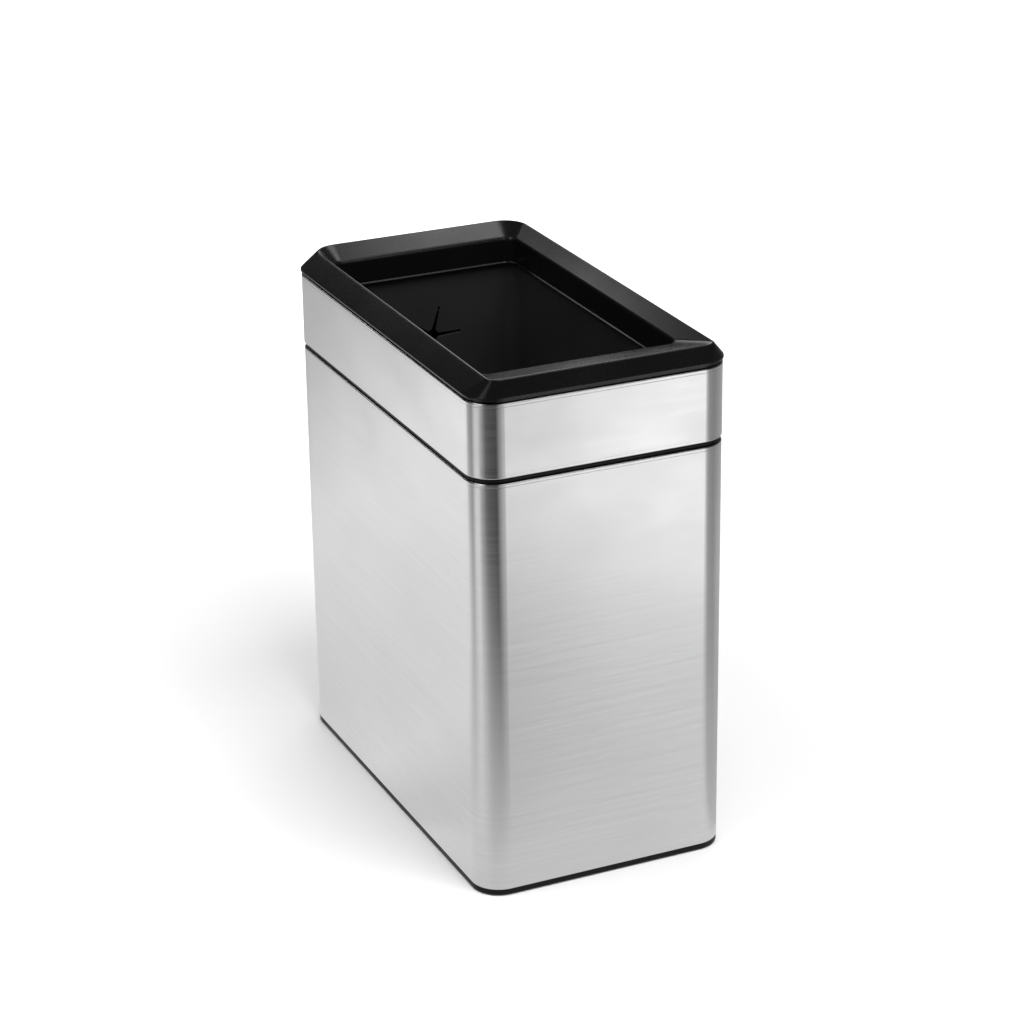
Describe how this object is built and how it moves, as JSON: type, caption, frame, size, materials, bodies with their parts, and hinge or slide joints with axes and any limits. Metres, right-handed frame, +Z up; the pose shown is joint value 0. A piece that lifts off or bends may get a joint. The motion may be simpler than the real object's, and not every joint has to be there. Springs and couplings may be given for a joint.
{
  "type": "open-top waste bin",
  "caption": "Slim open-top waste bin: brushed steel can and band, black bevelled lift-off rim, and a removable inner bucket with a bag tuck hole.",
  "frame": {"origin": "centre of the footprint at floor level", "axes": "+X across the narrow front, +Y from the front to the back, +Z up"},
  "size_m": [0.1614, 0.2804, 0.3207],
  "materials": {
    "steel": "fine horizontal brushing, satin",
    "inner_steel": "plain mill finish",
    "screw_steel": "zinc plated",
    "collar_plastic": "black moulded plastic, satin",
    "bucket_plastic": "black moulded plastic, matt",
    "frame_plastic": "black moulded plastic, satin",
    "base_plastic": "black moulded plastic, matt",
    "pad_rubber": "soft black rubber"
  },
  "bodies": {
    "can": {"outer_shell": "steel", "shell_seam_strip": "inner_steel", "bottom_panel": "inner_steel", "base_tray": "base_plastic", "base_screws": "screw_steel", "shell_top_frame": "frame_plastic", "foot_pad_front_left": "pad_rubber", "foot_pad_front_right": "pad_rubber", "foot_pad_back_left": "pad_rubber", "foot_pad_back_right": "pad_rubber"},
    "bucket": {"inner_bucket": "bucket_plastic"},
    "rim": {"rim_band": "steel", "band_seam_strip": "inner_steel", "rim_inner_frame": "frame_plastic", "rim_screws": "screw_steel", "rim_collar": "collar_plastic"}
  },
  "joints": [
    {"name": "bucket_lift", "type": "slide", "parent": "can", "child": "bucket", "axis": [0, 0, 1], "range_m": [0, 0.3]},
    {"name": "rim_lift", "type": "slide", "parent": "bucket", "child": "rim", "axis": [0, 0, 1], "range_m": [0, 0.12]}
  ]
}
